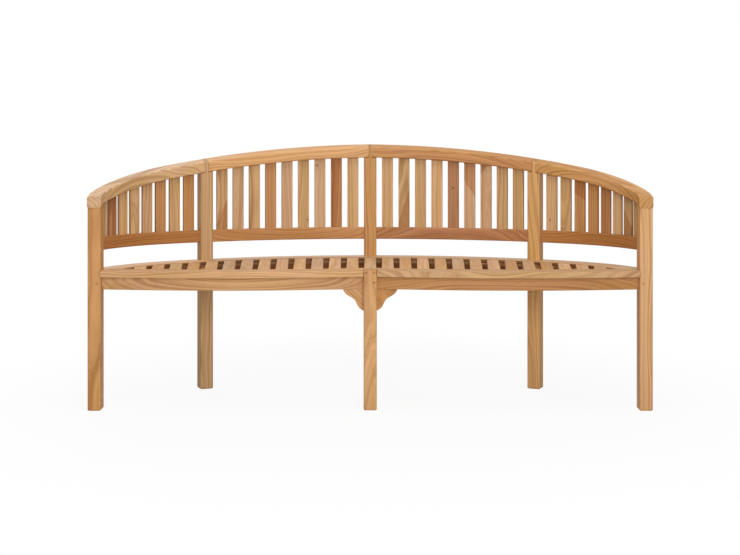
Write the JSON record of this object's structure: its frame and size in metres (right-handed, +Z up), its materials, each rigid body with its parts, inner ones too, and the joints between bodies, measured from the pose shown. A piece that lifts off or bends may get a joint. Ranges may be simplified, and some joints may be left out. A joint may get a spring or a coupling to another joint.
{
  "type": "garden bench",
  "caption": "Curved teak garden bench: a slatted back bows round a peanut-shaped slatted seat, on posts joined by tenoned rails, aprons and bearers.",
  "frame": {"origin": "on the floor, under the middle of the bench's bounding box", "axes": "+X runs along the bench to the right as seen from the front, +Y points to the back, +Z is up"},
  "size_m": [1.803, 0.6035, 0.8473],
  "materials": {
    "teak_post": "fine-sanded, unoiled teak",
    "teak_rail": "fine-sanded, unoiled teak",
    "teak_panel": "fine-sanded, unoiled teak",
    "teak_seat_board": "fine-sanded, unoiled teak",
    "teak_apron": "fine-sanded, unoiled teak",
    "teak_seat_slat": "fine-sanded, unoiled teak"
  },
  "bodies": {
    "root": {"end_post_left": "teak_post", "end_post_right": "teak_post", "rear_post_left": "teak_post", "rear_post_centre": "teak_post", "rear_post_right": "teak_post", "front_leg_centre": "teak_post", "top_rail_end_left": "teak_rail", "top_rail_middle_left": "teak_rail", "top_rail_middle_right": "teak_rail", "top_rail_end_right": "teak_rail", "back_panel_end_left": "teak_panel", "back_panel_middle_left": "teak_panel", "back_panel_middle_right": "teak_panel", "back_panel_end_right": "teak_panel", "seat_board_front_left": "teak_seat_board", "seat_board_front_right": "teak_seat_board", "seat_board_back_end_left": "teak_seat_board", "seat_board_back_middle_left": "teak_seat_board", "seat_board_back_middle_right": "teak_seat_board", "seat_board_back_end_right": "teak_seat_board", "apron_front_left": "teak_apron", "apron_front_right": "teak_apron", "apron_back_end_left": "teak_apron", "apron_back_middle_left": "teak_apron", "apron_back_middle_right": "teak_apron", "apron_back_end_right": "teak_apron", "bearer_left": "teak_apron", "bearer_centre": "teak_apron", "bearer_right": "teak_apron", "leg_bracket_left": "teak_apron", "leg_bracket_right": "teak_apron", "seat_slat_01": "teak_seat_slat", "seat_slat_02": "teak_seat_slat", "seat_slat_03": "teak_seat_slat", "seat_slat_04": "teak_seat_slat", "seat_slat_05": "teak_seat_slat", "seat_slat_06": "teak_seat_slat", "seat_slat_07": "teak_seat_slat", "seat_slat_08": "teak_seat_slat", "seat_slat_09": "teak_seat_slat", "seat_slat_10": "teak_seat_slat", "seat_slat_11": "teak_seat_slat", "seat_slat_12": "teak_seat_slat", "seat_slat_13": "teak_seat_slat", "seat_slat_14": "teak_seat_slat", "seat_slat_15": "teak_seat_slat", "seat_slat_16": "teak_seat_slat", "seat_slat_17": "teak_seat_slat", "seat_slat_18": "teak_seat_slat", "seat_slat_19": "teak_seat_slat", "seat_slat_20": "teak_seat_slat", "seat_slat_21": "teak_seat_slat", "seat_slat_22": "teak_seat_slat", "seat_slat_23": "teak_seat_slat", "seat_slat_24": "teak_seat_slat", "seat_slat_25": "teak_seat_slat", "seat_slat_26": "teak_seat_slat", "seat_slat_27": "teak_seat_slat"}
  },
  "joints": []
}
